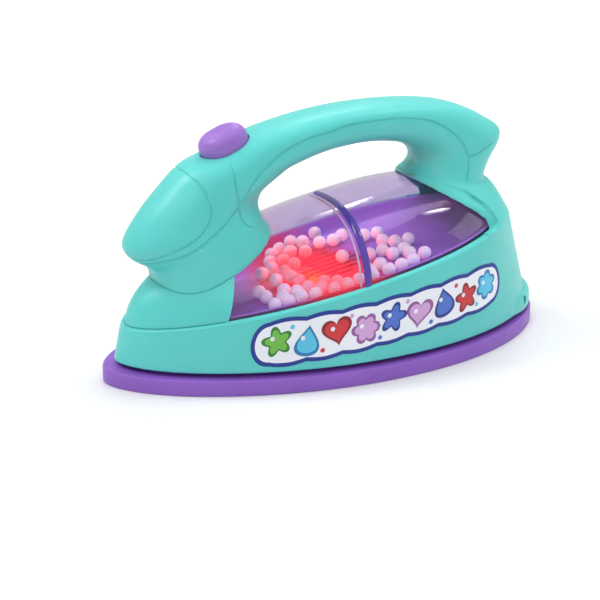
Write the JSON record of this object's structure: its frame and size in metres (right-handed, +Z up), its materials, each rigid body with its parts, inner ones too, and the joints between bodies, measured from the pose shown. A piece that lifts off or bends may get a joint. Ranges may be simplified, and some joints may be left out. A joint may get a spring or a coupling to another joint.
{
  "type": "toy iron",
  "caption": "Toy iron with a raised handle, a push button, a clear dome of loose foam balls over a red lamp and a fan, and a flat sole with a battery door.",
  "frame": {"origin": "centre of the sole's underside, on the table", "axes": "+X from the tip towards the heel, +Y towards the far side, +Z up"},
  "size_m": [0.19, 0.0916, 0.0985],
  "materials": {
    "housing": "satin",
    "sole": "satin",
    "clear_dome": "polished, see-through",
    "strip": "polished",
    "tray": "satin",
    "foam": "beaded foam",
    "button": "satin",
    "steel": "bright",
    "board": "satin",
    "black_plastic": "satin",
    "white_plastic": "satin",
    "bay": "satin",
    "motor_can": "satin",
    "led": "polished",
    "cell": "printed sleeve",
    "red_lead": "satin",
    "yellow_lead": "satin",
    "label": "satin film"
  },
  "bodies": {
    "iron": {"sole_plate": "sole", "sole_screws": "steel", "housing_left": "housing", "housing_right": "housing", "nose_cap": "housing", "housing_screws": "steel", "dome": "clear_dome", "dome_strip": "strip", "ball_tray": "tray", "foam_balls_front": "foam", "foam_balls_rear": "foam", "button_spring": "steel", "switch_plate": "board", "switch_body": "black_plastic", "motor_mount": "bay", "motor_can": "motor_can", "led": "led", "led_board": "board", "battery_box": "bay", "cell_left": "cell", "cell_right": "cell", "contact_plates": "steel", "contact_springs": "steel", "lead_supply": "red_lead", "lead_switched": "yellow_lead", "lead_motor": "black_plastic", "lead_lamp": "yellow_lead", "label_left": "label", "label_right": "label"},
    "button": {"button": "button"},
    "plunger": {"switch_plunger": "white_plastic"},
    "rotor": {"motor_shaft": "steel", "fan": "white_plastic"},
    "door": {"battery_door": "sole", "door_screw": "steel"}
  },
  "joints": [
    {"name": "button_press", "type": "slide", "parent": "iron", "child": "button", "axis": [0.3827, 0, -0.9239], "range_m": [0, 0.003], "stiffness_N_per_m": 300, "springref_m": -0.002, "deforming": ["button_spring"]},
    {"name": "plunger_press", "type": "slide", "parent": "iron", "child": "plunger", "axis": [0.3827, 0, -0.9239], "range_m": [0, 0.003]},
    {"name": "fan_spin", "type": "hinge", "parent": "iron", "child": "rotor", "pos_m": [0.00095, 0, 0.02], "axis": [0, 0, 1], "continuous": true},
    {"name": "door_swing", "type": "hinge", "parent": "iron", "child": "door", "pos_m": [0.01565, 0, 0.0015], "axis": [0, 1, 0], "range_deg": [0, 95]}
  ],
  "couplings": [
    {"joint": "plunger_press", "follows": "button_press", "ratio": 1}
  ]
}
